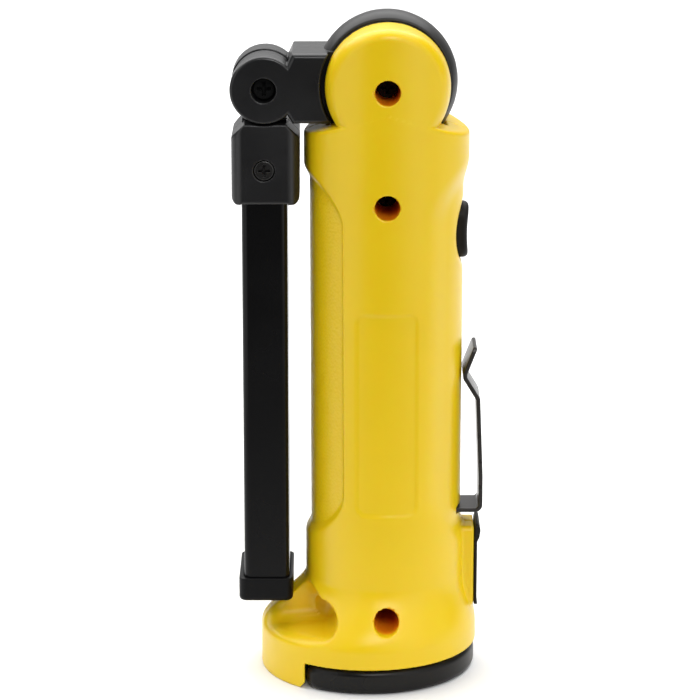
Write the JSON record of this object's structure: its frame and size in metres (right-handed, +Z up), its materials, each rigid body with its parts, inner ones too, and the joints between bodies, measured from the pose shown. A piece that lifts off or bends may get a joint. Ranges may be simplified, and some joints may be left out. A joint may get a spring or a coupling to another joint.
{
  "type": "folding-arm work flashlight",
  "caption": "Yellow handle with a drum hinge on top, a link and a flat black folding lamp arm, belt clip, push button, charging port flap and a hinged magnetic foot.",
  "frame": {"origin": "on the handle's axis, in the foot's bottom face", "axes": "+Z up along the handle, +X towards the button, clip and port, the lamp arm hangs on the -X side, -Y is the front with the screw bores and the label recess"},
  "size_m": [0.0706, 0.0614, 0.189],
  "materials": {
    "yellow_plastic": "satin moulded",
    "grey_plastic": "satin moulded",
    "black_plastic": "fine grained",
    "gloss_black": "gloss moulded",
    "black_rubber": "matt",
    "spring_steel": "black oxide, satin",
    "dark_steel": "black zinc",
    "steel": "turned",
    "nickel": "nickel plated",
    "magnet_nickel": "nickel plated",
    "aluminium": "rolled",
    "white_board": "white",
    "phosphor": "silicone gel",
    "clear_lens": "clear polycarbonate",
    "wire_red": "PVC",
    "cell_wrap": "shrink wrap",
    "green_board": "solder mask",
    "chips": "moulded"
  },
  "bodies": {
    "handle": {"shell_front": "yellow_plastic", "shell_rear": "yellow_plastic", "case_screws": "dark_steel", "drum_screw": "dark_steel", "drum_axle": "steel", "friction_washers": "steel", "battery_cell": "cell_wrap", "battery_cradle": "black_plastic", "battery_contacts": "nickel", "battery_leads": "wire_red", "main_board": "green_board", "board_parts": "chips", "tact_switch": "nickel", "charge_socket": "nickel", "foot_pin": "steel"},
    "link": {"drum_band": "grey_plastic", "link_front": "black_plastic", "link_rear": "black_plastic", "link_screws": "dark_steel", "knuckle_pin": "dark_steel", "knuckle_washer": "steel"},
    "lamp_arm": {"block_front": "black_plastic", "block_rear": "black_plastic", "block_screw": "dark_steel", "panel_housing": "gloss_black", "heat_spreader": "aluminium", "led_board": "white_board", "cob_strip": "phosphor", "reflector_frame": "white_board", "lens": "clear_lens", "end_cap": "black_plastic", "lamp_lead": "wire_red"},
    "button": {"button": "black_rubber"},
    "belt_clip": {"belt_clip": "spring_steel"},
    "port_cover": {"port_cover": "black_rubber"},
    "foot": {"foot_shell": "grey_plastic", "foot_lid": "grey_plastic", "magnet": "magnet_nickel", "magnet_cup": "steel"}
  },
  "joints": [
    {"name": "drum_hinge", "type": "hinge", "parent": "handle", "child": "link", "pos_m": [0, 0, 0.1694], "axis": [0, 1, 0], "range_deg": [0, 180]},
    {"name": "knuckle_hinge", "type": "hinge", "parent": "link", "child": "lamp_arm", "pos_m": [-0.0338, 0, 0.1684], "axis": [0, 1, 0], "range_deg": [0, 165]},
    {"name": "button_press", "type": "slide", "parent": "handle", "child": "button", "axis": [-1, 0, 0], "range_m": [0, 0.0007], "stiffness_N_per_m": 3000, "springref_m": -0.0002},
    {"name": "clip_flex", "type": "hinge", "parent": "handle", "child": "belt_clip", "pos_m": [0.0215, 0, 0.047], "axis": [0, 1, 0], "range_deg": [0, 4], "stiffness_Nm_per_rad": 8, "springref_deg": -0.57},
    {"name": "cover_hinge", "type": "hinge", "parent": "handle", "child": "port_cover", "pos_m": [0.02575, 0, 0.0191], "axis": [0, 1, 0], "range_deg": [0, 95]},
    {"name": "foot_hinge", "type": "hinge", "parent": "handle", "child": "foot", "pos_m": [-0.019, 0, 0.00355], "axis": [0, 1, 0], "range_deg": [0, 90]}
  ]
}
